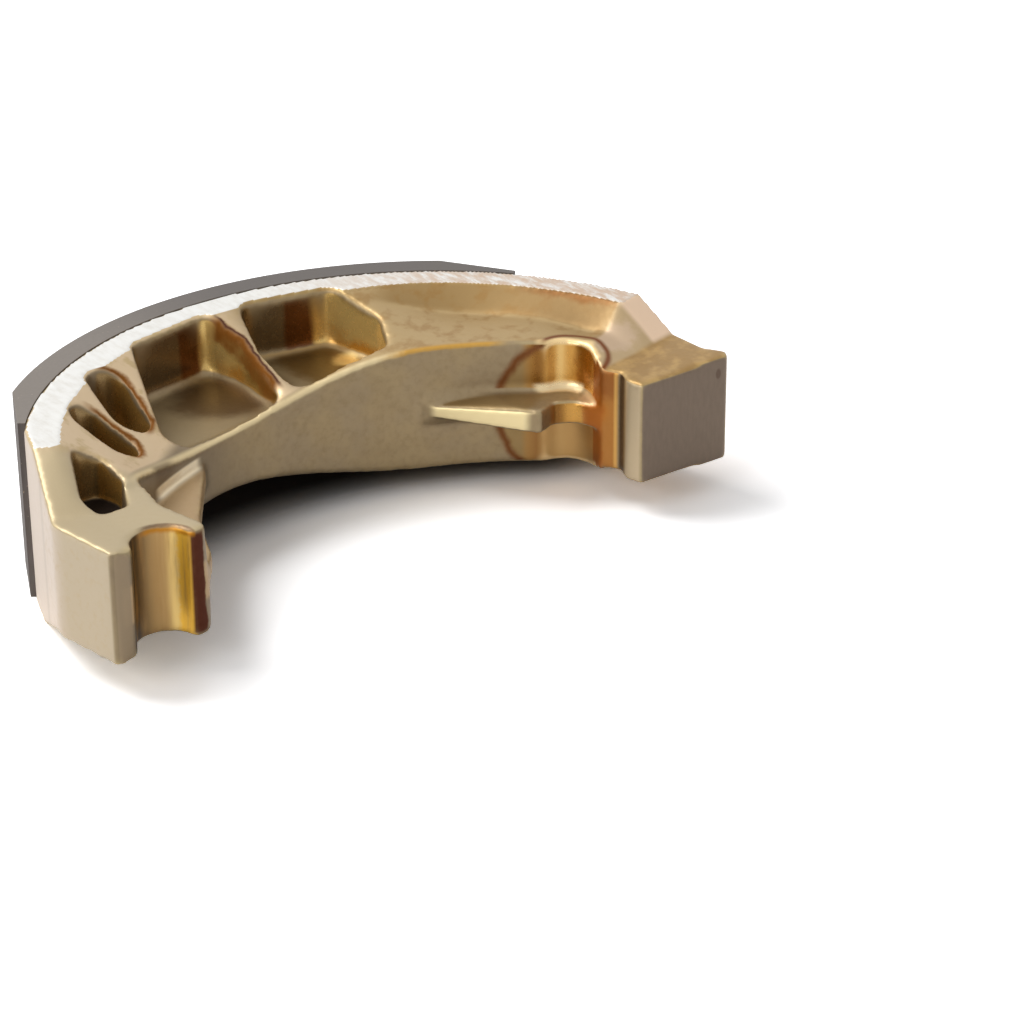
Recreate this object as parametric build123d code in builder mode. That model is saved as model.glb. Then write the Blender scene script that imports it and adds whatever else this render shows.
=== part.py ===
from build123d import *
import os
from math import cos, pi, radians, sin, sqrt

os.makedirs("parts", exist_ok=True)

# Brake shoe for a small drum brake: an aluminium die casting with a bonded friction lining.
# The origin is on the drum's axis, half way across the shoe. X runs from the anchor pin to the cam,
# Y towards the crown of the lining, and Z along the drum's axis. Sizes are millimetres and degrees,
# and angles are counted about the drum's axis from the cam end. The shoe is the same above and
# below its middle plane, so each height is given once and mirrored.

# Drum and lining
drum_radius = 55.0
shoe_width = 25.0
lining_thickness = 3.75
lining_end_thickness = 1.0
lining_cam_angle = 39.7
lining_anchor_angle = 143.2
cam_bevel_angle = 12.0
anchor_bevel_angle = 10.3

# Table that carries the lining, and the shoulder that falls from it to the deck
table_thickness = 4.25
table_cam_angle = 18.6
table_anchor_angle = 151.0
cam_ramp_angle = 7.4
anchor_ramp_angle = 14.5
shoulder_width = 3.8
deck_thickness = 18.6
deck_depth = 18.5
machining_allowance = 0.2

# Inner wall: an arc in plan, tall at the cam end and low towards the anchor
wall_centre_x = -0.6
wall_centre_y = -22.9
wall_height = 18.2
wall_low_height = 7.8
wall_tall_angle = 50.0
wall_low_angle = 120.0
wall_foot_angle = 152.5
deck_fade_angle = 16.0
wall_shoulder_gap = 2.0
headroom = 4.0
past_ends_angle = 9.0

# Anchor block, with its half-round seat between two lobes
block_height = 15.0
anchor_inset = 15.0
anchor_pin_radius = 4.0
outer_lobe_width = 3.4
inner_lobe_width = 3.0
seat_edge_radius = 1.2
lobe_edge_radius = 0.5
lobe_nose_radius = 1.4
block_back_width = 1.3
block_back_y = 9.0
facet_angle = 145.6
facet_foot_width = 1.45
facet_foot_y = 11.4
facet_radius = 5.0

# Cam block, with its flat pad and rounded tip
pad_inset = 3.8
pad_length = 15.2
tip_length = 1.0
tip_y = 1.3
tip_radius = 0.5
tip_relief = 0.75
tip_relief_y = 4.2
table_foot_angle = 10.2

# Face beside the cam pad: a rounded pillar, a groove and a cheek, and then the recess of the hook
pillar_offset = 0.6
pillar_y = 2.6
pillar_radius = 1.4
groove_depth = 1.2
groove_y = 5.2
groove_radius = 0.6
cheek_offset = 1.0
cheek_y = 7.7
cheek_radius = 0.8
recess_foot_offset = 0.4
recess_foot_y = 11.5
recess_middle_offset = 0.3
recess_middle_y = 14.9
recess_width = 3.6
recess_entry_radius = 2.0

# Pockets above and below the web
web_thickness = 7.2
pocket_draft = 3.0
pocket_floor_fillet = 1.0
wall_rib = 1.7
cam_pocket_radius = 2.0
cam_pocket_rib = 3.3
cam_pocket_knee = 10.0
crown_rib_knee = 9.0
anchor_pocket_radius = 1.6
anchor_pocket_knee = 4.2
anchor_pocket_bend = 6.0
long_oval_length = 10.4
long_oval_width = 4.9
long_oval_inset = 4.5
short_oval_length = 8.8
short_oval_width = 4.1
short_oval_inset = 5.2
corner_pocket_radius = 1.3
corner_pocket_rib = 2.1
corner_pocket_top = 5.0
corner_pocket_knee = 7.6
corner_pocket_foot = 7.0
corner_pocket_side = 3.5

# Spring lug
lug_thickness = 3.5
lug_length = 15.0
lug_tip_inset = 4.0
lug_reach = 6.9
lug_tip_radius = 1.0
hook_depth = 5.0
hook_y = 12.8
hook_radius = 1.2
root_depth = 6.0

# Gusset in the corner between the inner lobe and the wall
gusset_thickness = 3.0
gusset_lobe_y = 1.4
gusset_waist_offset = 2.4
gusset_waist_y = 4.5
gusset_elbow_offset = 6.8
gusset_elbow_y = 13.5
gusset_end_offset = 15.5

# Values that follow from the sizes above
half_width = shoe_width / 2
table_radius = drum_radius - lining_thickness
rim_radius = table_radius - table_thickness
shoulder_radius = rim_radius - shoulder_width
wall_radius = rim_radius - deck_depth - wall_centre_y
block_top = block_height / 2
pad_end = drum_radius - pad_inset
pad_start = pad_end - pad_length
pillar_x = pad_start - pillar_offset
groove_x = pillar_x + groove_depth
cheek_x = pad_start - cheek_offset
recess_foot = (pad_start + recess_foot_offset, recess_foot_y)
recess_middle = (pad_start - recess_middle_offset, recess_middle_y)
anchor_distance = drum_radius - anchor_inset
seat_start = -anchor_distance - anchor_pin_radius
seat_end = -anchor_distance + anchor_pin_radius
lobe_end = seat_end + inner_lobe_width
block_side = seat_start - outer_lobe_width
crown_angle = (table_cam_angle + table_anchor_angle) / 2


def polar(radius, angle):
    """Point at a radius and an angle about the drum's axis."""
    return (radius * cos(radians(angle)), radius * sin(radians(angle)))


def rim_point(angle, inset=0.0):
    """Point on the inner edge of the table at an angle, or that far inside it."""
    return polar(rim_radius - inset, angle)


def wall_point(x, in_front=0.0):
    """Point on the face of the inner wall at x, or that far in front of it."""
    dx = x - wall_centre_x
    dy = sqrt(wall_radius**2 - dx**2)
    share = 1 - in_front / wall_radius
    return (wall_centre_x + dx * share, wall_centre_y + dy * share)


def wall_reach(angle):
    """Distance from the drum's axis to the inner wall at an angle, kept inside the shoulder."""
    along = wall_centre_x * cos(radians(angle)) + wall_centre_y * sin(radians(angle))
    reach = along + sqrt(along**2 - wall_centre_x**2 - wall_centre_y**2 + wall_radius**2)
    return min(reach, shoulder_radius - wall_shoulder_gap)


def behind_wall(angle, distance):
    """Point at an angle about the drum's axis and a distance behind the face of the inner wall."""
    return polar(wall_reach(angle) + distance, angle)


def wall_top(angle):
    """Half height of the inner wall: level, an eased fall to its low point, then a rise."""
    high, low = wall_height / 2, wall_low_height / 2
    if angle <= wall_tall_angle:
        return high
    if angle <= wall_low_angle:
        share = (angle - wall_tall_angle) / (wall_low_angle - wall_tall_angle)
        return low + (high - low) * (1 + cos(pi * share)) / 2
    share = (angle - wall_low_angle) / (wall_foot_angle - wall_low_angle)
    return low + (block_top - low) * min(share, 1.0)**2


def shoulder_foot(angle):
    """Height at the foot of the shoulder: level with the deck, fading into an even slope."""
    top, reach = wall_top(angle), wall_reach(angle)
    slope = top + (half_width - top) * (shoulder_radius - reach) / (rim_radius - reach)
    share = min(max((angle - wall_tall_angle) / deck_fade_angle, 0.0), 1.0)
    return deck_thickness / 2 * (1 - share) + slope * share


def section(angle, wall, foot, rim):
    """Section of the space over the casting, from its heights at the wall, shoulder and rim.

    The face is made straight from its wire, which keeps the corners on straight stretches, so that
    every section has the same seven corners and the lofts join them one to one.
    """
    inside = wall_reach(wall_foot_angle) / 2
    ceiling = half_width + headroom
    corners = [
        (inside, wall),
        (wall_reach(angle), wall),
        (shoulder_radius, foot),
        (rim_radius, rim + machining_allowance),
        (drum_radius, rim + 2 * machining_allowance),
        (drum_radius, ceiling),
        (inside, ceiling),
    ]
    outward = (cos(radians(angle)), sin(radians(angle)), 0)
    plane = Plane(origin=(0, 0, 0), x_dir=outward, z_dir=(outward[1], -outward[0], 0))
    return Face(Wire.make_polygon([plane.from_local_coords(corner) for corner in corners]))


def ribbed_sections(start, end, count=6):
    """Evenly spaced sections over the ribbed part of the casting."""
    angles = [start + (end - start) * step / count for step in range(count + 1)]
    return [section(angle, wall_top(angle), shoulder_foot(angle), half_width) for angle in angles]


def level_section(angle):
    """Section that leaves the casting at the height of its end blocks."""
    return section(angle, block_top, block_top, block_top)


def round_corners(sketch, rounds):
    """Fillet the corner of a sketch that lies at each point, with the radius given beside it."""
    for (x, y), radius in rounds:
        fillet(sketch.vertices().sort_by_distance((x, y, 0))[0], radius)


# Space above the casting: level over both ends, ramped up to the table, and lofted over the ribs
cam_side = ribbed_sections(table_cam_angle, crown_angle)
anchor_side = ribbed_sections(crown_angle, table_anchor_angle)
ramp_feet = (table_cam_angle - cam_ramp_angle, table_anchor_angle + anchor_ramp_angle)
with BuildPart() as over_shoe:
    loft([level_section(-past_ends_angle), level_section(ramp_feet[0]), cam_side[0]], ruled=True)
    loft(cam_side)
    loft(anchor_side)
    loft([anchor_side[-1], level_section(ramp_feet[1]), level_section(180 + past_ends_angle)], ruled=True)

# Pockets above the web: three with cornered floors, as their corner radius and corners, and two ovals,
# as the angle and inset of their centre, their direction, length and width
cornered_pockets = [
    (cam_pocket_radius, [
        rim_point(86.8), rim_point(70.8), behind_wall(63.7, cam_pocket_knee),
        behind_wall(63.5, cam_pocket_rib), behind_wall(89.6, wall_rib), rim_point(90.0, crown_rib_knee),
    ]),
    (anchor_pocket_radius, [
        rim_point(94.2), rim_point(110.5), behind_wall(128.0, anchor_pocket_knee),
        behind_wall(127.4, wall_rib), behind_wall(95.0, wall_rib), rim_point(92.5, anchor_pocket_bend),
    ]),
    (corner_pocket_radius, [
        rim_point(150.8, corner_pocket_rib), rim_point(149.5, corner_pocket_top),
        rim_point(153.6, corner_pocket_knee), rim_point(163.6, corner_pocket_foot),
        rim_point(165.1, corner_pocket_side), rim_point(161.2, corner_pocket_rib),
    ]),
]
oval_pockets = [
    (125.9, long_oval_inset, 86, long_oval_length, long_oval_width),
    (137.9, short_oval_inset, 114, short_oval_length, short_oval_width),
]
with BuildPart() as pockets:
    web_top = Plane.XY.offset(web_thickness / 2)
    for corner_radius, corners in cornered_pockets:
        with BuildSketch(web_top) as outline:
            with BuildLine():
                Polyline(*corners, close=True)
            make_face()
            fillet(outline.vertices(), corner_radius)
        extrude(amount=half_width, taper=-pocket_draft)
    for angle, inset, direction, length, width in oval_pockets:
        with BuildSketch(web_top):
            with Locations(Location((*rim_point(angle, inset), 0), direction)):
                SlotOverall(length, width)
        extrude(amount=half_width, taper=-pocket_draft)
    # The two large floors meet their walls in a fillet
    floors = pockets.faces().filter_by(Axis.Z).group_by(Axis.Z)[0].sort_by(SortBy.AREA)
    fillet(floors[-2:].edges(), pocket_floor_fillet)

with BuildPart() as shoe_casting:
    # Outline in plan: cam pad, table, anchor block with its half-round seat, and inner wall
    tip = (pad_end + tip_length, tip_y)
    facet_foot = (block_side - facet_foot_width, facet_foot_y)
    block_back = (seat_end + block_back_width, block_back_y)
    wall_foot = polar(wall_reach(wall_foot_angle), wall_foot_angle)
    recess_start = wall_point(pad_start - recess_width)
    with BuildSketch() as plan:
        with BuildLine():
            Polyline(
                (pad_start, 0),
                (pad_end, 0),
                tip,
                (table_radius - tip_relief, tip_relief_y),
                polar(table_radius, table_foot_angle),
            )
            ThreePointArc(
                polar(table_radius, table_foot_angle),
                (0, table_radius),
                polar(table_radius, facet_angle),
            )
            Polyline(polar(table_radius, facet_angle), facet_foot, (block_side, 0), (seat_start, 0))
            ThreePointArc((seat_start, 0), (-anchor_distance, anchor_pin_radius), (seat_end, 0))
            Polyline((seat_end, 0), (lobe_end, 0), block_back, wall_foot)
            ThreePointArc(wall_foot, wall_point(0), recess_start)
            ThreePointArc(recess_start, recess_middle, recess_foot)
            Polyline(
                recess_foot,
                (cheek_x, cheek_y),
                (groove_x, groove_y),
                (pillar_x, pillar_y),
                (pad_start, 0),
            )
        make_face()
        round_corners(plan, [
            (tip, tip_radius),
            (facet_foot, facet_radius),
            ((block_side, 0), lobe_edge_radius),
            ((seat_start, 0), seat_edge_radius),
            ((lobe_end, 0), lobe_nose_radius),
            (recess_start, recess_entry_radius),
            ((cheek_x, cheek_y), cheek_radius),
            ((groove_x, groove_y), groove_radius),
            ((pillar_x, pillar_y), pillar_radius),
        ])
    extrude(amount=half_width, both=True)
    for tool in (over_shoe.part, pockets.part):
        add(tool, mode=Mode.SUBTRACT)
        add(mirror(tool, about=Plane.XY, mode=Mode.PRIVATE), mode=Mode.SUBTRACT)
    # Spring lug with its hook, rooted in the wall
    lug_tip_x = pad_start - lug_tip_inset
    lug_tip = wall_point(lug_tip_x, lug_reach)
    hook_mouth = (pad_start - hook_depth, hook_y)
    hook_back = (pad_start - hook_depth / 2, recess_foot_y)
    with BuildSketch() as lug:
        with BuildLine():
            Polyline(
                wall_point(lug_tip_x - lug_length), lug_tip, hook_mouth, hook_back, (cheek_x, cheek_y),
                wall_point(pad_start, -root_depth), wall_point(lug_tip_x, -root_depth), close=True,
            )
        make_face()
        round_corners(lug, [(lug_tip, lug_tip_radius), (hook_mouth, hook_radius), (hook_back, hook_radius)])
    extrude(amount=lug_thickness / 2, both=True)
    # Gusset in the corner between the inner lobe and the wall
    gusset_end_x = lobe_end + gusset_end_offset
    with BuildSketch() as gusset:
        with BuildLine():
            Polyline(
                (lobe_end, gusset_lobe_y),
                (lobe_end + gusset_waist_offset, gusset_waist_y),
                (lobe_end + gusset_elbow_offset, gusset_elbow_y),
                wall_point(gusset_end_x),
                wall_point(gusset_end_x, -root_depth),
                wall_point(wall_foot[0], -root_depth),
                (seat_end, block_back_y),
                close=True,
            )
        make_face()
    extrude(amount=gusset_thickness / 2, both=True)
shoe_casting.part.label = "shoe_casting"
export_step(shoe_casting.part, "parts/shoe_casting.step")

with BuildPart() as friction_lining:
    lining_end_radius = table_radius + lining_end_thickness
    cam_bevel = polar(drum_radius, lining_cam_angle + cam_bevel_angle)
    anchor_bevel = polar(drum_radius, lining_anchor_angle - anchor_bevel_angle)
    cam_seat = polar(table_radius, lining_cam_angle)
    anchor_seat = polar(table_radius, lining_anchor_angle)
    with BuildSketch():
        with BuildLine():
            ThreePointArc(cam_seat, (0, table_radius), anchor_seat)
            Polyline(anchor_seat, polar(lining_end_radius, lining_anchor_angle), anchor_bevel)
            ThreePointArc(anchor_bevel, (0, drum_radius), cam_bevel)
            Polyline(cam_bevel, polar(lining_end_radius, lining_cam_angle), cam_seat)
        make_face()
    extrude(amount=half_width, both=True)
friction_lining.part.label = "friction_lining"
export_step(friction_lining.part, "parts/friction_lining.step")
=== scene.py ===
import math

import bpy
import numpy as np
from mathutils import Matrix, Vector
from mathutils.bvhtree import BVHTree


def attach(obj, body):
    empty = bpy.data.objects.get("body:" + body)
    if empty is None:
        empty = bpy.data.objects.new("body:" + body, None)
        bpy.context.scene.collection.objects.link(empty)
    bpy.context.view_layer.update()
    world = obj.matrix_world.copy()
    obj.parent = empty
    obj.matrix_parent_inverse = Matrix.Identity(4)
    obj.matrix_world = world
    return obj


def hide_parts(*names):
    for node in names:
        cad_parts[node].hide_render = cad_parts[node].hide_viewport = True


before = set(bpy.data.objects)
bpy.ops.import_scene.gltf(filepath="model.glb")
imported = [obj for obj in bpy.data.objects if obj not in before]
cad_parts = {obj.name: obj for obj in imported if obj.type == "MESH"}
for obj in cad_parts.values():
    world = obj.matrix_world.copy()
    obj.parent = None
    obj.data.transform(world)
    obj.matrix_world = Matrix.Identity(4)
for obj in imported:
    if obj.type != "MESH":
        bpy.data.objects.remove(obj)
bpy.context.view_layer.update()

# Looks of the brake shoe: a die casting under a thin golden coat, with bare machined sides, and a dark
# ground friction lining. Sizes of the part and shader coordinates are millimetres in the part's frame:
# X from the anchor to the cam, Y to the crown, Z along the drum's axis. Camera, floor and lamps are
# placed in metres.
MM = 0.001

# Sizes of the part that the finish follows. Angles are degrees round the drum's axis, from X.
HALF_WIDTH = 12.5
TABLE_RADIUS = 51.25
RIM_RADIUS = 47.0
LINING_CAM_ANGLE = 39.7
LINING_ANCHOR_ANGLE = 143.2
ANCHOR_SEAT = (-40.0, 0.0)
WALL_CENTRE = (-0.6, -22.9)
WALL_RADIUS = 51.4

# Oval pockets near the anchor, in plan: centre, direction in degrees, length and width
OVAL_POCKETS = [((-24.9, 34.4), 86, 10.4, 4.9), ((-31.0, 28.0), 114, 8.8, 4.1)]

# Outer walls of the large pockets: X where the brown run and the gold, partly a painted highlight, begin,
# and of the wall's end
POCKET_RUNS = [(9.0, 13.2, 30.0), (-8.3, -4.6, 0.0)]

# Anchor pocket's lip at the rib, in plan: it bends at this Y, with these leans beyond and short of it
LIP_BEND = 41.0
LIP_LEANS = (0.27, 0.08)

# Brown ring on the wall round the hook: its centre and half its size
HOOK_RING = ((34.6, 15.2, -1.0), (9.3, 9.3, 10.2))

# Even mesh of the casting: its cell, and the smoothing passes, given twice to the pockets and the lug
CELL = 0.405
SMOOTHING = 5

# Least bend of a concave corner that is filled, as a length: a smaller one gives a wider cove
LEAST_BEND = 0.022
LEAST_BEND_SMALL_POCKET = 0.035
LEAST_BEND_LARGE_POCKET = 0.010
NOTHING_FILLED = 1.0

# Lug: half its thickness up to the first X, at its root, and all of it from the second
LUG_HALF_X = 17
LUG_FULL_X = 26

# Inner lobe's swelling towards the middle of the shoe: its centre, its reach each way and its height
LOBE_CENTRE = (-32, 3, -3)
LOBE_REACH = (3, 5, 6)
LOBE_SWELLING = 0.7

# How far a vertex looks for things that close it in
OPEN_REACH = 14.0

# Camera: its place, what it looks at, its roll in degrees and its focal length on a 36 mm sensor
CAMERA_PLACE = (-0.2258, -0.31225, 0.1863)
CAMERA_AIM = (0.0233, 0.0124, -0.0125)
CAMERA_ROLL = -0.32
CAMERA_LENS = 116.0


# Meshes

def edge_list(mesh):
    """Vertex pairs of a mesh's edges."""
    pairs = np.empty(len(mesh.edges) * 2, np.int32)
    mesh.edges.foreach_get("vertices", pairs)
    return pairs.reshape(-1, 2)


def places_of(mesh):
    """Places of a mesh's vertices, as rows."""
    values = np.empty(len(mesh.vertices) * 3, np.float32)
    mesh.vertices.foreach_get("co", values)
    return values.reshape(-1, 3).astype(float)


def normals_of(mesh):
    """Normals of a mesh's vertices, as rows."""
    values = np.empty(len(mesh.vertices) * 3, np.float32)
    mesh.vertex_normals.foreach_get("vector", values)
    return values.reshape(-1, 3).astype(float)


def move_to(mesh, places):
    """Put a mesh's vertices at new places."""
    mesh.vertices.foreach_set("co", places.astype(np.float32).ravel())
    mesh.update()


def spread(values, pairs, times, weight=0.5):
    """Values drawn towards the mean of their neighbours, a number of times."""
    size = len(values)
    valence = np.bincount(pairs.ravel(), minlength=size)[:, None]
    values = values.reshape(size, -1)
    share = np.asarray(weight).reshape(-1, 1)
    one, other = pairs.T
    for _ in range(times):
        total = np.column_stack([
            np.bincount(one, column[other], size) + np.bincount(other, column[one], size)
            for column in values.T
        ])
        values = values + share * (total / valence - values)
    return values


def fill_corners(mesh, places, pairs, least, rounds=9, steps=6):
    """Concave corners filled to a soft radius, which grows as the least bend gets smaller."""
    for _ in range(rounds):
        move_to(mesh, places)
        normals = normals_of(mesh)
        for _ in range(steps):
            bend = ((spread(places, pairs, 1, 1.0) - places) * normals).sum(axis=1)
            places = places + normals * np.maximum(bend - least, 0)[:, None] * 0.6
    return places


def remeshed(node, name, cell):
    """New object with an even mesh of a CAD node's shape."""
    piece = bpy.data.objects.new(name, node.data.copy())
    bpy.context.scene.collection.objects.link(piece)
    remesh = piece.modifiers.new("even_mesh", "REMESH")
    remesh.mode = "VOXEL"
    remesh.voxel_size = cell
    depsgraph = bpy.context.evaluated_depsgraph_get()
    mesh = bpy.data.meshes.new_from_object(piece.evaluated_get(depsgraph))
    piece.modifiers.clear()
    piece.data = mesh
    piece.data.name = name
    mesh.materials.clear()
    return piece


def openness(mesh, reach, rays=12):
    """Share of the directions over each vertex that meet nothing within reach."""
    tree = BVHTree.FromPolygons([v.co for v in mesh.vertices], [p.vertices for p in mesh.polygons])
    rng = np.random.default_rng(4)
    places, normals = places_of(mesh), normals_of(mesh)
    free = np.zeros(len(places))
    turns = rng.random((rays, len(places))) * 2 * math.pi
    upright = np.where(abs(normals[:, 2:]) < 0.9, [[0, 0, 1]], [[1, 0, 0]])
    side = np.cross(normals, upright)
    side /= np.linalg.norm(side, axis=1)[:, None]
    other = np.cross(normals, side)
    starts = (places + normals * 0.05 * MM).tolist()
    for step in range(rays):
        height = math.sqrt((step + 0.5) / rays)
        around = math.sqrt(1 - height**2)
        turn = turns[step][:, None]
        ways = normals * height + around * (side * np.cos(turn) + other * np.sin(turn))
        for index, (start, way) in enumerate(zip(starts, ways.tolist())):
            if tree.ray_cast(start, way, reach)[0] is None:
                free[index] += 1
    return free / rays


def store(mesh, name, values):
    """Keep one number for each vertex, for the shaders to read."""
    mesh.attributes.new(name, "FLOAT", "POINT").data.foreach_set("value", values.astype(np.float32))


def lug_mask(behind, height, angle):
    """Where the spring lug is, off the wall."""
    return (behind < -0.6) & (height < 3) & (angle > 24) & (angle < 75)


def softened(mesh, places, pairs, behind):
    """Places of the casting's vertices with its edges softened and its corners filled."""
    x, y, z = places.T / MM
    height, radius, angle = np.abs(z), np.hypot(x, y), np.degrees(np.arctan2(y, x))
    lined = (angle > LINING_CAM_ANGLE) & (angle < LINING_ANCHOR_ANGLE)
    under_lining = (radius > TABLE_RADIUS - 0.6) & lined
    pocket = (behind > 0.8) & (radius < RIM_RADIUS + 0.6) & (angle > 60) & (angle < 168)
    large_pocket = pocket & (angle < 128) & (x > -21)
    seat = np.hypot(x - ANCHOR_SEAT[0], y - ANCHOR_SEAT[1]) < 5.5
    groove = (x > 34) & (y < 7)

    soft = np.where(under_lining, 0.0, np.where(height > HALF_WIDTH - 0.6, 0.25, 0.5))
    places = spread(places, pairs, SMOOTHING, soft)
    places = spread(places, pairs, SMOOTHING, np.where(pocket | lug_mask(behind, height, angle), soft, 0))
    least = np.where(pocket, LEAST_BEND_SMALL_POCKET, LEAST_BEND)
    least[large_pocket] = LEAST_BEND_LARGE_POCKET
    least[seat | groove | under_lining] = NOTHING_FILLED
    return fill_corners(mesh, places, pairs, least * MM)


def make_casting():
    """The casting with the soft corners of a die casting and the crisp sides of a machined band."""
    piece = remeshed(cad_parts["shoe_casting"], "cast_shoe_body", CELL * MM)
    mesh = piece.data
    pairs = edge_list(mesh)
    start = places_of(mesh)
    x, y, z = start.T / MM
    behind = np.hypot(x - WALL_CENTRE[0], y - WALL_CENTRE[1]) - WALL_RADIUS
    places = softened(mesh, start, pairs, behind)

    # The lug is thinner towards its root at the wall
    lug = lug_mask(behind, np.abs(z), np.degrees(np.arctan2(y, x)))
    thickness = np.clip((x - LUG_HALF_X) / (LUG_FULL_X - LUG_HALF_X), 0, 1) * 0.5 + 0.5
    off_wall = np.clip((-0.3 - behind) / 0.8, 0, 1) * lug
    places[:, 2] *= 1 - (1 - thickness) * off_wall

    # The inner lobe swells towards the middle of the shoe
    along, up, across = (((start / MM - LOBE_CENTRE) / LOBE_REACH) ** 2).T
    swell = np.exp(-along - up - across)
    places[:, 0] += LOBE_SWELLING * MM * swell * np.clip(normals_of(mesh)[:, 0], 0, 1)

    machined = np.abs(z) > HALF_WIDTH - 0.15
    places[machined, 2] = np.sign(start[machined, 2]) * HALF_WIDTH * MM
    move_to(mesh, places)
    bulge = ((places - spread(places, pairs, 10)) * normals_of(mesh)).sum(axis=1) / MM
    store(mesh, "bulge", np.clip(bulge / 0.4, -1, 1))
    store(mesh, "openness", spread(openness(mesh, OPEN_REACH * MM), pairs, 3).ravel())
    for polygon in mesh.polygons:
        polygon.use_smooth = True
    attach(piece, "root")
    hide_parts("shoe_casting")
    return piece


# Shaders

class Graph:
    """Short calls that add nodes to a node tree and return their output sockets."""

    def __init__(self, tree):
        self.nodes = tree.nodes
        self.links = tree.links

    def add(self, kind, inputs=None, **settings):
        """New node with its settings and its inputs, which are values or sockets."""
        node = self.nodes.new(kind)
        for name, value in settings.items():
            setattr(node, name, value)
        for key, value in (inputs or {}).items():
            self.give(value, node.inputs[key])
        return node

    def give(self, value, socket):
        """Set or link an input. A colour of three numbers is given as it looks, from 0 to 255."""
        if isinstance(value, bpy.types.NodeSocket):
            self.links.new(value, socket)
        elif socket.type == "RGBA" and len(value) == 3:
            socket.default_value = tuple(((c / 255 + 0.055) / 1.055) ** 2.4 for c in value) + (1.0,)
        else:
            socket.default_value = value

    def math(self, operation, first, second=0.0):
        return self.add("ShaderNodeMath", {0: first, 1: second}, operation=operation).outputs[0]

    def vector(self, operation, first, second=None):
        node = self.add("ShaderNodeVectorMath", {0: first}, operation=operation)
        if second is not None:
            self.give(second, node.inputs["Scale" if operation == "SCALE" else 1])
        return node.outputs["Value" if operation in ("LENGTH", "DISTANCE") else "Vector"]

    def both(self, *masks):
        """Where all the masks are."""
        result = masks[0]
        for mask in masks[1:]:
            result = self.math("MULTIPLY", result, mask)
        return result

    def most(self, *masks):
        """Where any of the masks is."""
        result = masks[0]
        for mask in masks[1:]:
            result = self.math("MAXIMUM", result, mask)
        return result

    def mean(self, first, second):
        return self.math("MULTIPLY", self.math("ADD", first, second), 0.5)


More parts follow.
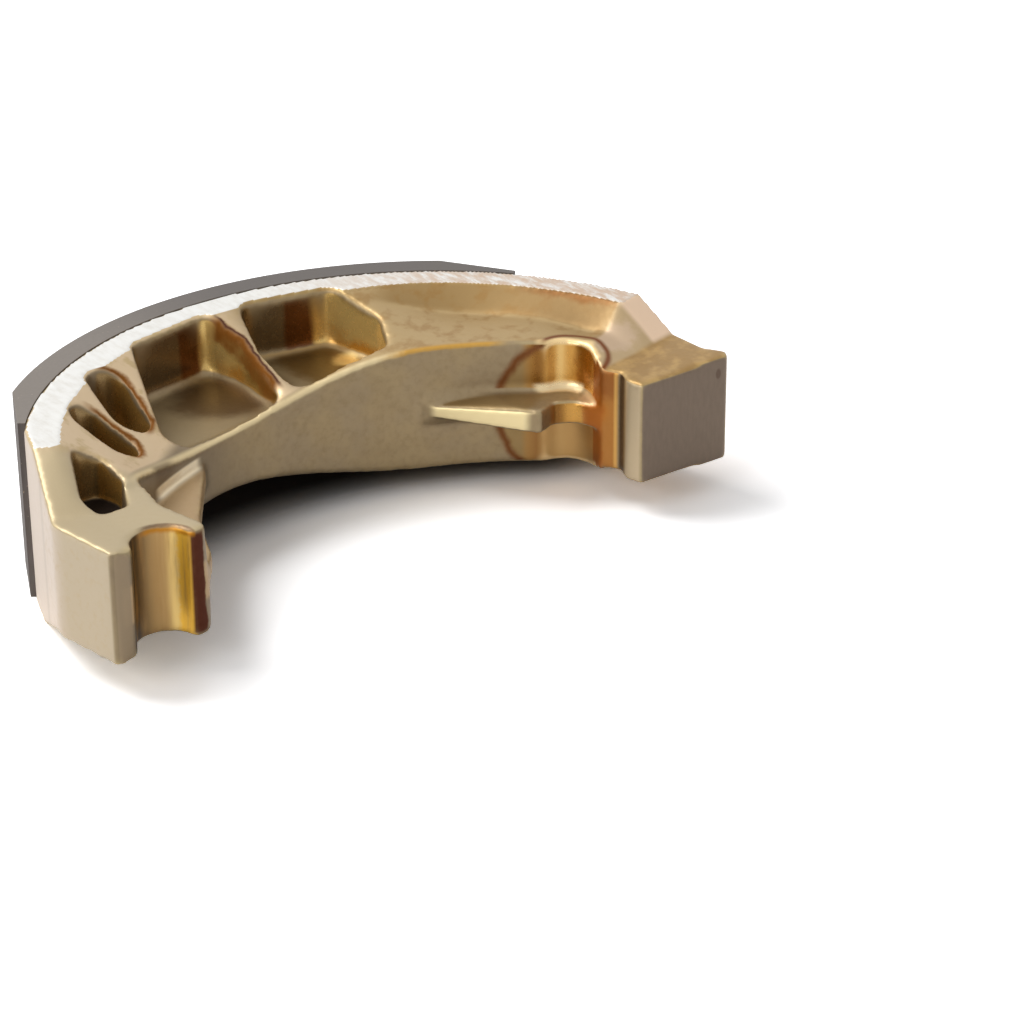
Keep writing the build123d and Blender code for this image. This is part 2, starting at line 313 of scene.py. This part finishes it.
class Paint(Graph):
    """A material painted in layers, by masks in the part's own coordinates."""

    def __init__(self, name, base):
        self.material = bpy.data.materials.new(name)
        self.material.use_nodes = True
        super().__init__(self.material.node_tree)
        self.shader = self.nodes["Principled BSDF"]
        self.colour = base
        source = self.add("ShaderNodeTexCoord").outputs
        self.place = self.vector("SCALE", source["Object"], 1 / MM)
        self.x, self.y, self.z = self.add("ShaderNodeSeparateXYZ", {0: self.place}).outputs
        facing = self.add("ShaderNodeSeparateXYZ", {0: source["Normal"]}).outputs

        # Height above the middle plane, how level the surface is, and which way along X it faces
        self.height = self.math("ABSOLUTE", self.z)
        self.level = self.math("ABSOLUTE", facing[2])
        self.facing_x = facing[0]

        # Place round the drum's axis, and distance outwards from the inner wall's face
        flat = self.add("ShaderNodeCombineXYZ", {0: self.x, 1: self.y}).outputs[0]
        self.radius = self.vector("LENGTH", flat)
        self.angle = self.math("MULTIPLY", self.math("ARCTAN2", self.y, self.x), math.degrees(1))
        from_wall_centre = self.vector("DISTANCE", flat, (*WALL_CENTRE, 0))
        self.behind = self.math("SUBTRACT", from_wall_centre, WALL_RADIUS)

    def between(self, value, low, high):
        """0 below low, 1 above high and an eased rise between, or a fall where low is the larger."""
        return self.add("ShaderNodeMapRange", {"Value": value, "From Min": low, "From Max": high},
                        interpolation_type="SMOOTHSTEP").outputs["Result"]

    def within(self, value, low, high, edge):
        """1 from low to high, with soft edges."""
        return self.both(self.between(value, low - edge, low + edge),
                         self.between(value, high + edge, high - edge))

    def region(self, *masks, **limits):
        """Where all the masks are and each named coordinate keeps its limits.

        Two limits are those of between, for a rise or a fall, and three are those of within.
        """
        for name, limit in limits.items():
            limited = self.between if len(limit) == 2 else self.within
            masks += (limited(getattr(self, name), *limit),)
        return self.both(*masks)

    def line(self, value, centre, width):
        """1 where a value is at its centre, falling to 0 a width away."""
        return self.between(self.math("ABSOLUTE", self.math("SUBTRACT", value, centre)), width, 0.0)

    def noise(self, scale, detail=3.0, roughness=0.55, stretch=(1, 1, 1), offset=(0, 0, 0)):
        """Cloudy noise about 0.5, of about scale waves a millimetre."""
        inputs = {"Vector": self.place, "Scale": stretch, "Location": offset}
        mapped = self.add("ShaderNodeMapping", inputs).outputs[0]
        inputs = {"Vector": mapped, "Scale": scale, "Detail": detail, "Roughness": roughness}
        return self.add("ShaderNodeTexNoise", inputs).outputs["Fac"]

    def wander(self, value, noise, reach):
        """A value pushed up and down by a noise, by at most about the reach."""
        push = self.math("MULTIPLY", self.math("SUBTRACT", noise, 0.5), 3 * reach)
        return self.math("ADD", value, push)

    def attribute(self, name):
        return self.add("ShaderNodeAttribute", attribute_name=name).outputs["Fac"]

    def away(self, centre, size):
        """Distance from a place, as a share of the size in each direction."""
        offset = self.vector("SUBTRACT", self.place, centre)
        return self.vector("LENGTH", self.vector("MULTIPLY", offset, tuple(1 / s for s in size)))

    def slot(self, centre, direction, length, width):
        """Distance in plan from the edge of an oval slot, negative inside it."""
        cosine, sine = math.cos(math.radians(direction)), math.sin(math.radians(direction))
        x, y = self.math("SUBTRACT", self.x, centre[0]), self.math("SUBTRACT", self.y, centre[1])
        along = self.math("ADD", self.math("MULTIPLY", x, cosine), self.math("MULTIPLY", y, sine))
        across = self.math("SUBTRACT", self.math("MULTIPLY", y, cosine), self.math("MULTIPLY", x, sine))
        past = self.math("SUBTRACT", self.math("ABSOLUTE", along), (length - width) / 2)
        past = self.math("MAXIMUM", past, 0)
        reach = self.math("SQRT", self.math("ADD", self.both(past, past), self.both(across, across)))
        return self.math("SUBTRACT", reach, width / 2)

    def mix(self, factor, first, second):
        node = self.add("ShaderNodeMix", {0: factor, 6: first, 7: second}, data_type="RGBA")
        return node.outputs[2]

    def coat(self, mask, tint, strength=1.0):
        """Paint a colour over what is there."""
        if strength != 1.0:
            mask = self.math("MULTIPLY", mask, strength)
        self.colour = self.mix(mask, self.colour, tint)

    def finish(self, roughness, relief=None, depth=0.0):
        """The material with its painted colour, its roughness and a fine relief."""
        self.give(self.colour, self.shader.inputs["Base Color"])
        self.give(roughness, self.shader.inputs["Roughness"])
        if relief is not None:
            bump = self.add("ShaderNodeBump", {"Height": relief, "Strength": depth, "Distance": 0.1 * MM})
            self.give(bump.outputs["Normal"], self.shader.inputs["Normal"])
        return self.material


class CastingPaint(Paint):
    """Paint for the casting, with what its layers share."""

    def __init__(self, name, base):
        super().__init__(name, base)
        self.bulge, self.openness = self.attribute("bulge"), self.attribute("openness")
        self.patch = self.noise(0.35, offset=(9, 0, 4))
        self.fine = self.noise(1.1, detail=6)
        self.drip = self.noise(0.5, detail=4, stretch=(1, 1, 0.12))
        self.top = self.region(level=(0.35, 0.7))
        self.side = self.region(level=(0.6, 0.35))
        self.from_seat = self.away((*ANCHOR_SEAT, 0.0), (1, 1, 1000.0))

    def ragged(self, value, low, high, reach, noise=None):
        """Between, with an edge that wanders."""
        noise = self.patch if noise is None else noise
        return self.between(self.wander(value, noise, reach), low, high)

    def spot(self, centre, size, inner, outer, reach=0.0, noise=None):
        """Spot round a place: full to the inner share of its size, and gone at the outer."""
        return self.ragged(self.away(centre, size), outer, inner, reach, noise)


def casting_material():
    """Golden coat over cast aluminium, stained and given painted shade in its corners, bare where it is
    machined.
    """
    paint = CastingPaint("golden_cast_aluminium", (158, 138, 106))

    # Khaki in large clouds with fine dark grain, darker towards the anchor, and painted shade in deep
    # corners
    paint.coat(paint.between(paint.noise(0.1), 0.38, 0.62), (164, 142, 104))
    paint.coat(paint.between(paint.patch, 0.35, 0.8), (148, 126, 90), 0.4)
    paint.coat(paint.between(paint.fine, 0.4, 0.8), (126, 106, 74), 0.3)
    paint.coat(paint.region(angle=(104, 126)), (130, 113, 89), 0.75)
    # Painted shade: brown over what the openness attribute finds closed in
    paint.coat(paint.region(openness=(0.5, 0.15)), (96, 70, 38), 0.6)

    paint_shoulder(paint)
    paint_web(paint)
    varnish, corner = paint_pockets(paint)
    scoop = paint_hook(paint)
    paint_cam_block(paint)
    lobe = paint_anchor_block(paint)
    paint_table_back(paint)
    paint_edge_wear_and_highlights(paint)
    paint_cove_highlights_and_shade(paint)
    lines = paint_tide_lines(paint)
    paint_machined_sides(paint)

    paint.shader.inputs["Metallic"].default_value = 0.55
    gloss = paint.math("MULTIPLY", paint.most(varnish, scoop), 0.16)
    dullness = paint.math("MULTIPLY", paint.most(lobe, lines, corner), 0.4)
    rough = paint.math("SUBTRACT", paint.wander(0.42, paint.fine, 0.06), gloss)
    grain = paint.mean(paint.noise(2.5, detail=2), paint.fine)
    return paint.finish(paint.math("ADD", rough, dullness), grain, 0.15)


def paint_shoulder(paint):
    """Gold shoulder and paler deck at the cam side, with brown runs below the machined band."""
    beyond_ramp = paint.ragged(paint.angle, 17.0, 21.0, 1.5)
    upper = paint.region(paint.top, beyond_ramp, behind=(0.4, 1.0), angle=(92, 82))
    shoulder = paint.region(upper, radius=(42.2, 44.0), level=(0.98, 0.88))
    paint.coat(upper, (188, 160, 112), 0.9)
    paint.coat(shoulder, (150, 120, 72), 0.85)
    paint.coat(paint.both(upper, paint.between(paint.patch, 0.48, 0.68)), (150, 110, 52), 0.5)
    paint.coat(paint.region(shoulder, angle=(46, 26)), (132, 104, 62), 0.75)
    under_band = paint.ragged(paint.height, 11.4, 12.3, 0.6)
    cam_end = paint.ragged(paint.angle, 40, 32, 4)
    paint.coat(paint.both(shoulder, under_band, cam_end), (126, 78, 22), 0.8)


def paint_web(paint):
    """Pale rib tops between the pockets."""
    before_anchor = paint.region(angle=(156, 150))
    ribs = paint.region(paint.top, before_anchor, behind=(0.6, 1.4), angle=(86, 94), height=(5.0, 6.0))
    paint.coat(ribs, (222, 196, 158), 0.9)
    paint.coat(paint.both(ribs, paint.between(paint.patch, 0.5, 0.66)), (188, 162, 112), 0.7)


def paint_pockets(paint):
    """Varnished pockets, with painted shade on the floor in the anchor's corner. Returns the masks of
    their walls and of that floor.
    """
    inside = paint.region(behind=(1.3, 1.8), radius=(47.3, 46.9), angle=(60, 168, 1.0))
    walls = paint.region(inside, paint.side, bulge=(0.2, 0.0), height=(12.2, 11.6))

    # Outer walls of the large pockets: grey brown, then a dark brown run, and gold with amber below; the
    # gold is partly the coat and partly a painted highlight where the wall turns towards the light
    paint.coat(walls, (120, 100, 68))
    x = paint.wander(paint.x, paint.drip, 0.5)
    low = paint.ragged(paint.height, 7.5, 4.5, 2.0)
    for brown, gold, end in POCKET_RUNS:
        wall = paint.region(walls, paint.region(x=(end, end - 0.5)), x=(brown - 9, brown - 8))
        paint.coat(paint.both(wall, paint.between(x, brown - 0.4, brown + 0.4)), (98, 54, 12), 0.95)
        # Gold: partly the coat, partly a painted highlight
        paint.coat(paint.both(wall, paint.between(x, gold - 0.8, gold + 0.8)), (232, 196, 118), 0.95)
        paint.coat(paint.both(wall, paint.between(x, gold + 1.0, gold + 3.0), low), (206, 132, 22), 0.85)

    # The rib between them, and the walls of the small pockets
    rib = paint.region(walls, paint.region(x=(0.0, -0.5)), x=(-4.0, -2.8))
    paint.coat(paint.region(rib, y=(43.5, 38.0)), (158, 122, 60), 0.85)
    paint.coat(paint.region(rib, y=(36.5, 33.5)), (118, 78, 26), 0.8)
    small = paint.region(walls, angle=(114, 118))
    paint.coat(small, (160, 130, 80), 0.8)
    paint.coat(paint.region(small, facing_x=(-0.5, -0.85)), (176, 132, 62), 0.8)

    # Floors: shaded under the rib, brown in the cam pocket with a bright glint, and nearly black with
    # painted shade in the corner
    floors = paint.region(inside, level=(0.6, 0.9), height=(5.2, 4.4))
    paint.coat(floors, (150, 130, 94), 0.9)
    shade = paint.spot((-5.0, 38.5, 3.6), (10.0, 7.5, 3), 0.6, 1.1, 0.12)
    paint.coat(paint.both(floors, shade), (88, 64, 28), 0.95)
    paint.coat(paint.both(floors, paint.ragged(paint.x, 4.5, 8.0, 1.0)), (104, 76, 24), 0.95)
    glint = paint.spot((14.4, 39.0, 4.0), (2.0, 2.6, 2.4), 0.4, 1.2, 0.3)
    paint.coat(paint.both(inside, glint), (232, 200, 128), 0.7)
    # Painted shade: the deep floor in the anchor's corner, nearly black
    corner = paint.region(inside, level=(0.3, 0.7), height=(6.2, 5.4), angle=(144, 146))
    paint.coat(corner, (34, 20, 6))
    return walls, corner


def paint_hook(paint):
    """Golden scoop behind the hook with a painted highlight, a browner wall round it, and a painted
    highlight and painted shade on the lug. Returns the scoop's mask.
    """
    wall = paint.region(paint.side, x=(20, 22), behind=(-0.35, -0.1), radius=(44.0, 42.0))
    paint.coat(paint.both(wall, paint.spot(*HOOK_RING, 0.95, 1.05)), (156, 126, 74), 0.8)
    lug = paint.region(behind=(-0.7, -1.5), height=(2.6, 2.0), angle=(26.0, 70.0, 1.5))
    # Painted highlight on the lug's front face, and painted shade on its top
    paint.coat(paint.region(lug, paint.side, angle=(66, 50)), (255, 234, 178), 0.95)
    paint.coat(paint.region(lug, level=(0.75, 0.95)), (150, 122, 76), 0.8)

    scoop = paint.region(paint.side, x=(29.6, 31.6), y=(9.8, 19.5, 0.6))
    below = paint.region(scoop, z=(-1.0, -2.0))
    x = paint.wander(paint.x, paint.drip, 0.4)
    paint.coat(scoop, (206, 152, 68))
    # Painted highlight: a pale band down the middle of the scoop
    paint.coat(paint.both(scoop, paint.line(x, 34.6, 1.0)), (240, 200, 124), 0.8)
    paint.coat(paint.both(scoop, paint.between(x, 33.2, 31.4)), (134, 86, 14), 0.95)
    paint.coat(paint.both(scoop, paint.ragged(paint.x, 35.6, 36.6, 0.6)), (158, 96, 14))
    paint.coat(below, (196, 156, 96), 0.9)
    paint.coat(paint.both(below, paint.between(x, 32.6, 31.4)), (150, 102, 44), 0.9)
    paint.coat(paint.spot((35.4, 8.8, 1.0), (2.2, 3.2, 2.4), 0.3, 1.0), (222, 124, 4), 0.95)
    return paint.region(scoop, z=(-2.0, 0.0))


def paint_cam_block(paint):
    """Orange cheek, groove darkened with painted shade, pale pillar, gold top, pale pinkish ramp, and a
    dark plain pad whose darkness is partly painted shade.
    """
    cheek = paint.region(paint.side, x=(34.0, 38.0, 0.4), y=(5.6, 10.4, 0.3))
    paint.coat(cheek, (176, 112, 36), 0.9)
    paint.coat(paint.both(cheek, paint.ragged(paint.y, 6.9, 7.8, 0.5)), (168, 92, 14), 0.9)
    paint.coat(paint.both(cheek, paint.ragged(paint.z, 2.0, 5.0, 1.5)), (132, 70, 14), 0.6)
    paint.coat(paint.region(cheek, y=(6.2, 5.8)), (228, 180, 96), 0.7)
    # Painted shade in the groove
    groove = paint.region(paint.side, x=(35.0, 37.6, 0.4), y=(3.6, 5.3, 0.4))
    paint.coat(groove, (62, 40, 20), 0.9)
    pillar = paint.region(paint.side, x=(34.0, 36.4, 0.4), y=(0.3, 3.0, 0.3))
    paint.coat(pillar, (204, 184, 150), 0.9)

    block = paint.region(paint.top, x=(34.6, 35.4), angle=(12.4, 11.6))
    paint.coat(block, (164, 128, 72), 0.9)
    paint.coat(paint.both(block, paint.between(paint.patch, 0.42, 0.7)), (194, 158, 98), 0.8)
    ramp = paint.region(paint.top, x=(33.0, 35.0), angle=(11.6, 18.8, 0.6))
    paint.coat(ramp, (192, 166, 126), 0.9)
    mottled = paint.mean(paint.patch, paint.fine)
    blush = paint.spot((41.0, 12.0, 9.2), (3.6, 2.6, 2.4), 0.6, 1.3, 0.5, mottled)
    paint.coat(paint.both(ramp, blush), (208, 182, 156), 0.7)
    paint.coat(paint.region(ramp, radius=(46.2, 47.2)), (240, 210, 180), 0.95)

    # Brushed pad face, darker than the coat partly as painted shade on a face turned from the lamps
    pad = paint.region(x=(30.0, 31.0), y=(0.12, 0.04))
    brushed = paint.between(paint.noise(1.6, detail=5, stretch=(1, 1, 0.3)), 0.25, 0.75)
    paint.coat(pad, paint.mix(brushed, (124, 107, 90), (130, 112, 95)))
    mark = paint.spot((49.6, 0, 5.4), (0.5, 1, 0.8), 0.6, 1.2)
    paint.coat(paint.both(pad, mark), (98, 76, 60), 0.8)


def paint_anchor_block(paint):
    """Pale block, gold seat with painted shade on its left and a painted highlight that deepens to an
    orange edge, and a dark red-brown inner lobe. Returns the lobe.
    """
    block = paint.region(paint.top, x=(-29.0, -30.0), angle=(150, 154), height=(5.6, 6.6))
    paint.coat(block, (198, 180, 144), 0.8)
    gusset = paint.region(behind=(-0.2, -0.8), height=(3.0, 2.2), angle=(122, 126))
    paint.coat(gusset, (186, 156, 114), 0.9)
    outer = paint.region(paint.side, x=(-45.5, -46.6), y=(0.3, 0.8))
    paint.coat(outer, paint.mix(paint.region(y=(13.5, 8.5)), (208, 191, 173), (194, 178, 150)), 0.9)
    paint.coat(paint.both(outer, paint.between(paint.fine, 0.5, 0.7)), (188, 166, 130), 0.35)

    seat = paint.region(paint.side, from_seat=(4.7, 4.3), y=(0.0, 0.3))
    # Across the seat: painted shade to nearly black on the left, then gold, a painted highlight, and an
    # orange edge
    gold = paint.mix(paint.region(x=(-43.0, -37.8)), (26, 16, 6), (192, 154, 96))
    gold = paint.mix(paint.region(x=(-38.0, -37.0)), gold, (250, 214, 132))
    gold = paint.mix(paint.ragged(paint.x, -36.9, -36.5, 0.2, paint.fine), gold, (255, 200, 70))
    streaks = paint.between(paint.noise(1.2, detail=4, stretch=(1, 1, 0.1)), 0.35, 1.0)
    paint.coat(seat, paint.mix(streaks, gold, (176, 136, 80)))

    lobe_end = paint.ragged(paint.x, -33.9, -34.3, 0.35)
    lobe = paint.region(lobe_end, x=(-36.1, -35.7), y=(1.2, 0.6), height=(7.3, 6.6))
    paint.coat(lobe, (98, 48, 26))
    outer_lobe = paint.region(x=(-43.9, -44.3), y=(0.15, 0.05))
    paint.coat(outer_lobe, (154, 134, 106), 0.9)
    return lobe


def paint_table_back(paint):
    """Outside beside the lining: plain at the anchor, gold with brown runs and a pale patch at the cam."""
    before_outer = paint.region(x=(-46.6, -45.5))
    anchor = paint.region(paint.side, before_outer, x=(-36, -38), facing_x=(-0.1, -0.3),
                          radius=(45.5, 46.2))
    paint.coat(anchor, (208, 191, 173), 0.9)
    face = (TABLE_RADIUS - 0.8, TABLE_RADIUS - 0.4)
    cam = paint.region(paint.side, radius=face, x=(20, 22), y=(4.5, 6.0))
    flow = paint.noise(0.13, detail=2, roughness=0.45, stretch=(1, 1, 0.35), offset=(3, 1, 7))
    paint.coat(cam, paint.mix(paint.between(flow, 0.35, 0.65), (222, 178, 104), (196, 142, 62)), 0.95)
    paint.coat(paint.both(cam, paint.line(flow, 0.5, 0.045)), (168, 98, 34), 0.8)
    paint.coat(paint.both(cam, paint.between(paint.drip, 0.52, 0.66)), (186, 120, 46), 0.5)
    frayed = paint.noise(0.25, offset=(1, 8, 2))
    pale = paint.spot((42.4, 28.8, 5.0), (4.6, 6.0, 10.0), 0.85, 1.05, 0.45, frayed)
    paint.coat(paint.both(cam, pale), paint.mix(paint.patch, (226, 206, 168), (196, 176, 140)), 0.9)


def paint_edge_wear_and_highlights(paint):
    """Edges made pale, partly as wear and partly as painted highlight, and most of all the edges of the
    inner wall and of the scoop, which are painted highlights.
    """
    # Convex edges: pale as wear and as painted highlight
    paint.coat(paint.region(paint.between(paint.patch, 0.3, 0.6), bulge=(0.15, 0.7)), (226, 204, 146), 0.5)
    # Painted highlight along the inner wall's top edge, turning yellow-orange
    edge = paint.region(paint.line(paint.behind, 0.35, 0.8), paint.region(angle=(156, 150)),
                        height=(3.4, 3.9), level=(0.15, 0.5), angle=(34, 40), z=(0, 1))
    tint = paint.mix(paint.ragged(paint.angle, 66, 58, 4), (236, 214, 166), (206, 154, 56))
    paint.coat(edge, tint, 0.85)
    # Painted highlight on the scoop's lip
    scoop = paint.region(bulge=(0.05, 0.25), x=(32.0, 38.6, 1.0), y=(9.4, 18.0, 0.4), height=(6.0, 7.0))
    paint.coat(scoop, (250, 218, 160), 0.85)


def paint_cove_highlights_and_shade(paint):
    """Painted highlights on coves: at the lug below the scoop, and at the gusset, where the wall over it
    gets painted shade.
    """
    # Painted highlight in the cove below the scoop
    highlight_below_scoop = paint.region(x=(31.2, 36.8, 0.6), y=(12.6, 13.4), z=(1.3, 2.9, 0.4), level=(0.995, 0.93))
    paint.coat(highlight_below_scoop, (244, 222, 176), 0.9)
    gusset = paint.region(behind=(-2.4, 0.6, 0.3), angle=(127.0, 144.0, 1.5))
    # Painted shade on the wall over the gusset, and a painted highlight in the gusset's cove
    paint.coat(paint.region(gusset, z=(2.6, 4.0), angle=(134, 139)), (110, 88, 60), 0.7)
    paint.coat(paint.region(gusset, z=(1.7, 3.2, 0.25)), (255, 238, 204), 0.95)


def paint_tide_lines(paint):
    """Brown lines where the coat ran and dried. Returns the mask of those on the ribs."""
    brown, dark = (128, 76, 0), (72, 30, 0)
    ribs = []
    for centre, direction, length, width in OVAL_POCKETS:
        lip = paint.wander(paint.slot(centre, direction, length, width), paint.patch, 0.6)
        towards_cam = paint.region(paint.top, x=(centre[0] - 0.5, centre[0] + 1.5))
        ribs.append(paint.both(paint.line(lip, 0.6, 0.9), towards_cam))
        paint.coat(ribs[-1], brown)

    # Anchor pocket's lip at the rib, which sinks towards the wall
    beyond = paint.math("MAXIMUM", paint.math("SUBTRACT", paint.y, LIP_BEND), 0)
    short = paint.math("MAXIMUM", paint.math("SUBTRACT", LIP_BEND, paint.y), 0)
    lean = paint.math("ADD", paint.math("MULTIPLY", beyond, LIP_LEANS[0]),
                      paint.math("MULTIPLY", short, LIP_LEANS[1]))
    lip = paint.wander(paint.math("ADD", paint.x, lean), paint.patch, 0.4)
    over_lip = paint.math("SUBTRACT", paint.height, paint.math("MULTIPLY", paint.y, 0.385))
    upper = paint.ragged(over_lip, -9.4, -8.2, 0.6, paint.noise(0.6, offset=(2, 5, 1)))
    rib = paint.region(upper, y=(31.6, 46, 1.0))
    ribs.append(paint.both(rib, paint.line(lip, -1.3, 1.3)))
    paint.coat(ribs[-1], brown)
    paint.coat(paint.both(rib, paint.line(lip, -0.7, 0.4)), dark)

    # Lip of the scoop, ring on the wall round the hook, and lip of the seat
    scoop = paint.wander(paint.away((33.6, 12.3, 9.0), (4.8, 4.9, 60.0)), paint.patch, 0.03)
    paint.coat(paint.region(paint.top, paint.line(scoop, 1.04, 0.16), x=(31.5, 33.5)), (118, 60, 0))
    wall = paint.region(paint.side, paint.region(x=(33.0, 32.0)), x=(20, 22), behind=(-0.35, -0.1))
    ring = paint.line(paint.wander(paint.away(*HOOK_RING), paint.patch, 0.04), 1.0, 0.11)
    paint.coat(paint.both(wall, ring), (112, 62, 8))
    seat = paint.region(from_seat=(4.9, 4.5), x=(-41.6, -39.6))
    z = paint.wander(paint.z, paint.patch, 0.3)
    paint.coat(paint.both(seat, paint.line(z, 6.9, 0.6)), (188, 122, 4), 0.9)
    paint.coat(paint.both(seat, paint.line(z, 7.4, 0.35)), dark, 0.7)
    return paint.most(*ribs)


def paint_machined_sides(paint):
    """Bare metal on both sides of the table, scratched across, and worn brown at the cam end."""
    machined = paint.ragged(paint.height, HALF_WIDTH - 0.08, HALF_WIDTH - 0.03, 0.012, paint.fine)
    scratch = paint.noise(1.1, detail=6, roughness=0.65, stretch=(1.0, 0.35, 1.0))
    bare = paint.mix(paint.between(scratch, 0.25, 0.65), (228, 225, 218), (242, 241, 237))
    worn = paint.region(paint.between(scratch, 0.72, 0.36), angle=(88, 40))
    paint.coat(machined, paint.mix(worn, bare, (212, 186, 162)))


def lining_material():
    """Dark friction material, ground across its width, with fine pale flecks."""
    paint = Paint("ground_friction_material", (90, 84, 81))
    scratches = paint.noise(1.6, detail=4, stretch=(1, 1, 0.04))
    flecks = paint.noise(2.2, detail=1, offset=(7, 3, 1))
    paint.coat(paint.between(scratches, 0.3, 0.7), (112, 105, 101))
    paint.coat(paint.between(paint.noise(0.2), 0.4, 0.7), (98, 88, 82), 0.3)
    paint.coat(paint.between(flecks, 0.74, 0.78), (214, 190, 160))
    side = paint.region(height=(HALF_WIDTH - 0.1, HALF_WIDTH - 0.02))
    paint.coat(side, (146, 138, 130), 0.8)
    paint.coat(paint.region(side, angle=(118, 84)), (100, 95, 92), 0.8)
    return paint.finish(0.75, scratches, 0.25)


# Stage

def make_camera():
    """Camera at the photograph's viewing angle."""
    camera = bpy.data.objects.new("camera", bpy.data.cameras.new("camera"))
    bpy.context.scene.collection.objects.link(camera)
    camera.data.lens = CAMERA_LENS
    camera.data.sensor_width = 36.0
    camera.data.clip_start, camera.data.clip_end = 0.01, 10.0
    look = (Vector(CAMERA_AIM) - Vector(CAMERA_PLACE)).to_track_quat("-Z", "Y")
    roll = Matrix.Rotation(math.radians(CAMERA_ROLL), 4, "Z")
    camera.matrix_world = Matrix.Translation(CAMERA_PLACE) @ look.to_matrix().to_4x4() @ roll
    bpy.context.scene.camera = camera


def make_floor():
    """Floor that is white to the camera and in gloss, with a painted deep shadow below the shoe.

    It throws little light back on the shoe.
    """
    bpy.ops.mesh.primitive_plane_add(size=6.0, location=(0, 0, -HALF_WIDTH * MM))
    floor = bpy.context.object
    floor.name = "floor"
    paint = Paint("pale_floor", (140, 138, 140))
    path = paint.add("ShaderNodeLightPath").outputs
    paint.coat(path["Is Glossy Ray"], (1.4, 1.4, 1.42, 1.0))
    paint.coat(path["Is Camera Ray"], (1.8, 1.8, 1.82, 1.0))
    # Painted shadow: the floor nearly black under the shoe's arc, by the inner wall
    below = paint.region(behind=(-2.5, 10.0), radius=(50.0, 49.0), angle=(26, 146, 7))
    paint.coat(below, (0.02, 0.015, 0.012, 1.0))
    floor.data.materials.append(paint.finish(0.9))


def make_lamp(name, place, size, power):
    """Soft white area lamp that points at the part."""
    lamp = bpy.data.objects.new(name, bpy.data.lights.new(name, "AREA"))
    bpy.context.scene.collection.objects.link(lamp)
    lamp.data.size = size
    lamp.data.energy = power
    lamp.location = place
    lamp.rotation_euler = (-Vector(place)).to_track_quat("-Z", "Y").to_euler()


def make_world():
    """White surroundings to the camera and in gloss, dimmer as a light."""
    world = bpy.data.worlds.new("studio")
    bpy.context.scene.world = world
    world.use_nodes = True
    graph = Graph(world.node_tree)
    path = graph.add("ShaderNodeLightPath").outputs
    seen = graph.most(path["Is Camera Ray"], path["Is Glossy Ray"], path["Is Transmission Ray"])
    strength = graph.add("ShaderNodeMapRange", {"Value": seen, "To Min": 0.3, "To Max": 1.0})
    background = graph.nodes["Background"]
    background.inputs["Color"].default_value = (1, 1, 1, 1)
    graph.give(strength.outputs["Result"], background.inputs["Strength"])


make_camera()
casting = make_casting()
casting.data.materials.append(casting_material())
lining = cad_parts["friction_lining"]
lining.data.materials.clear()
lining.data.materials.append(lining_material())
make_floor()
make_world()
make_lamp("key", place=(-0.32, 0.5, 0.8), size=0.6, power=6.2)
make_lamp("side", place=(-0.75, -0.1, 0.35), size=0.5, power=2.2)
bpy.context.scene.view_settings.view_transform = "Standard"
